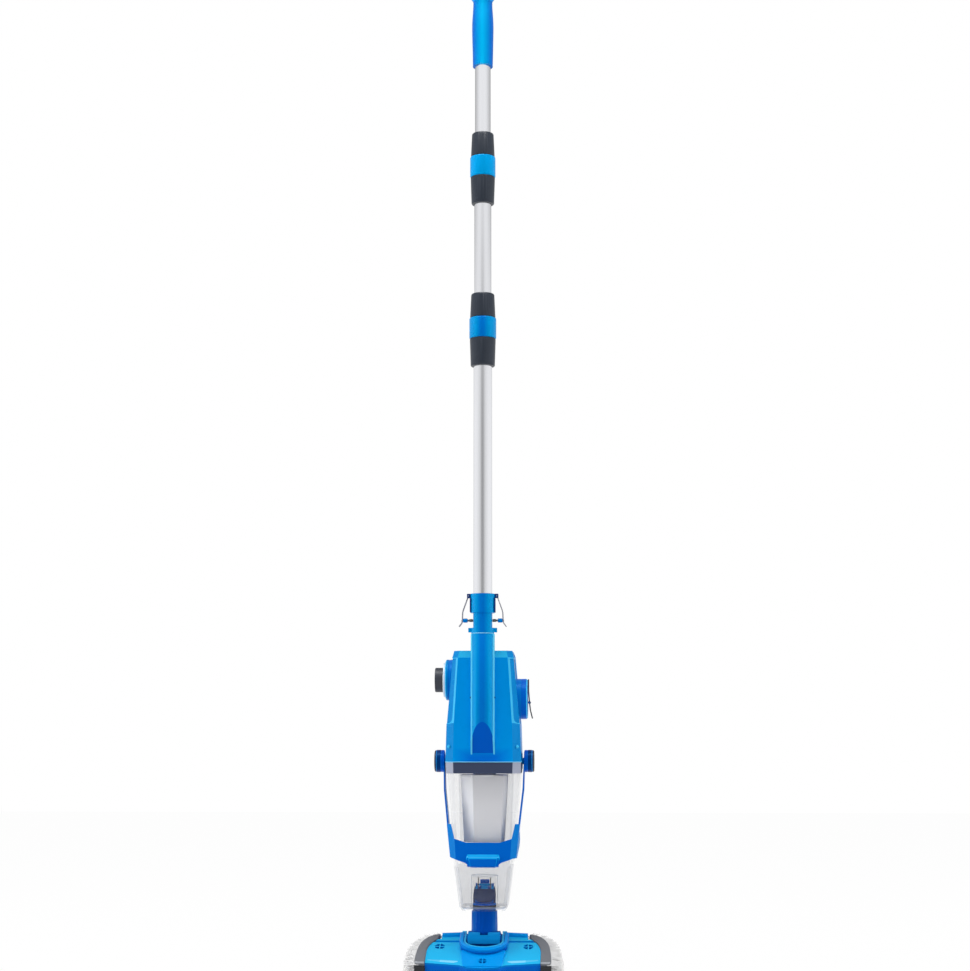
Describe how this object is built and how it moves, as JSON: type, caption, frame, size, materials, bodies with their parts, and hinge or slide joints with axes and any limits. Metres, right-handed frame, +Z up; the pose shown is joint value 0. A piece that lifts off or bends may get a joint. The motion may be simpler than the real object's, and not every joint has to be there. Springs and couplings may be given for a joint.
{
  "type": "manual pool vacuum",
  "caption": "Hand-held pool vacuum with telescopic pole, pump housing, clear debris canister with locking bail, and tilting brush head.",
  "frame": {"origin": "centre of the lower tube at the pole adapter's top rim, where a pole clip holds the tube", "axes": "+Z up the pole, +X to the charging port, -Y to the front"},
  "size_m": [0.234, 0.1248, 1.505],
  "materials": {
    "blue_plastic": "glossy",
    "deep_blue_plastic": "glossy",
    "slate_plastic": "satin",
    "aluminium_tube": "polished",
    "white_plastic": "satin",
    "black_plastic": "satin",
    "black_rubber": "matte",
    "grey_seal": "satin",
    "flap_rubber": "matte",
    "grey_rubber": "matte",
    "steel": "brushed",
    "clear_plastic": "clear",
    "filter_fabric": "woven",
    "bristle": "translucent",
    "battery_wrap": "satin",
    "circuit_board": "satin"
  },
  "bodies": {
    "housing": {"lower_tube": "aluminium_tube", "lower_clamp_sleeve": "slate_plastic", "lower_clamp_ring": "blue_plastic", "lower_collet": "white_plastic", "pole_adapter": "blue_plastic", "clip_hinge_pins": "steel", "front_housing": "blue_plastic", "rear_housing": "blue_plastic", "housing_gasket": "black_rubber", "housing_screws": "steel", "switch_boss": "blue_plastic", "knob_collar": "clear_plastic", "rotary_switch": "slate_plastic", "port_cap": "blue_plastic", "port_lever_pin": "deep_blue_plastic", "charge_socket": "black_plastic", "battery_cells": "battery_wrap", "battery_holder": "black_plastic", "control_board": "circuit_board", "motor": "steel", "bulkhead": "deep_blue_plastic", "shaft_seal": "black_rubber", "pump_casing": "deep_blue_plastic", "outlet_grille": "black_plastic", "seal_band": "grey_seal", "bail_studs": "blue_plastic", "canister": "clear_plastic", "filter_frame": "white_plastic", "filter_mesh": "filter_fabric"},
    "middle_section": {"middle_tube": "aluminium_tube", "middle_guide": "slate_plastic", "upper_clamp_sleeve": "slate_plastic", "upper_clamp_ring": "blue_plastic", "upper_collet": "white_plastic"},
    "upper_section": {"upper_tube": "aluminium_tube", "upper_guide": "slate_plastic", "grip": "blue_plastic", "end_cap": "blue_plastic"},
    "lower_nut": {"lower_clamp_nut": "slate_plastic"},
    "upper_nut": {"upper_clamp_nut": "slate_plastic"},
    "left_clip": {"left_clip_spring": "steel", "left_clip_pin": "deep_blue_plastic"},
    "right_clip": {"right_clip_spring": "steel", "right_clip_pin": "deep_blue_plastic"},
    "knob": {"switch_knob": "black_plastic"},
    "lever": {"port_lever": "black_plastic"},
    "bail_frame": {"bail": "deep_blue_plastic", "bail_caps": "black_plastic"},
    "impeller_rotor": {"impeller": "white_plastic"},
    "neck_tube": {"neck": "deep_blue_plastic", "inlet_oring": "black_rubber", "flap_pin": "steel"},
    "flap": {"inlet_flap": "flap_rubber"},
    "head": {"head_top": "blue_plastic", "head_base": "deep_blue_plastic", "head_pivot_pins": "steel", "side_bumpers": "grey_rubber", "side_bristles": "bristle"},
    "left_wheel": {"left_roller": "black_plastic"},
    "right_wheel": {"right_roller": "black_plastic"}
  },
  "joints": [
    {"name": "pole_lower_slide", "type": "slide", "parent": "housing", "child": "middle_section", "axis": [0, 0, 1], "range_m": [-0.136, 0.3]},
    {"name": "pole_upper_slide", "type": "slide", "parent": "middle_section", "child": "upper_section", "axis": [0, 0, 1], "range_m": [-0.103, 0.4]},
    {"name": "lower_nut_turn", "type": "hinge", "parent": "housing", "child": "lower_nut", "pos_m": [0, 0, 0.43], "axis": [0, 0, 1], "range_deg": [0, 90]},
    {"name": "upper_nut_turn", "type": "hinge", "parent": "middle_section", "child": "upper_nut", "pos_m": [0, 0, 0.69], "axis": [0, 0, 1], "range_deg": [0, 90]},
    {"name": "left_clip_swing", "type": "hinge", "parent": "housing", "child": "left_clip", "pos_m": [-0.021, 0, -0.003], "axis": [0, 1, 0], "range_deg": [0, 10], "stiffness_Nm_per_rad": 0.6, "springref_deg": -5.73},
    {"name": "right_clip_swing", "type": "hinge", "parent": "housing", "child": "right_clip", "pos_m": [0.021, 0, -0.003], "axis": [0, -1, 0], "range_deg": [0, 10], "stiffness_Nm_per_rad": 0.6, "springref_deg": -5.73},
    {"name": "switch_turn", "type": "hinge", "parent": "housing", "child": "knob", "pos_m": [-0.06, 0.052, -0.1254], "axis": [-1, 0, 0], "range_deg": [0, 90]},
    {"name": "port_lever_swing", "type": "hinge", "parent": "housing", "child": "lever", "pos_m": [0.0676, 0.052, -0.1592], "axis": [0, 1, 0], "range_deg": [0, 8], "stiffness_Nm_per_rad": 0.3, "springref_deg": -5.73},
    {"name": "bail_swing", "type": "hinge", "parent": "housing", "child": "bail_frame", "pos_m": [0, 0.052, -0.246], "axis": [-1, 0, 0], "range_deg": [0, 100]},
    {"name": "impeller_spin", "type": "hinge", "parent": "housing", "child": "impeller_rotor", "pos_m": [0, 0.052, -0.225], "axis": [0, 0, 1], "continuous": true},
    {"name": "neck_pull", "type": "slide", "parent": "housing", "child": "neck_tube", "axis": [0, 0, -1], "range_m": [0, 0.04]},
    {"name": "flap_lift", "type": "hinge", "parent": "neck_tube", "child": "flap", "pos_m": [0, 0.0595, -0.4277], "axis": [-1, 0, 0], "range_deg": [0, 25]},
    {"name": "head_tilt", "type": "hinge", "parent": "neck_tube", "child": "head", "pos_m": [0, 0.052, -0.5096], "axis": [1, 0, 0], "range_deg": [-50, 18]},
    {"name": "left_roller_spin", "type": "hinge", "parent": "head", "child": "left_wheel", "pos_m": [-0.046, 0.07217, -0.51547], "axis": [1, 0, 0], "continuous": true},
    {"name": "right_roller_spin", "type": "hinge", "parent": "head", "child": "right_wheel", "pos_m": [0.046, 0.07217, -0.51547], "axis": [1, 0, 0], "continuous": true}
  ]
}
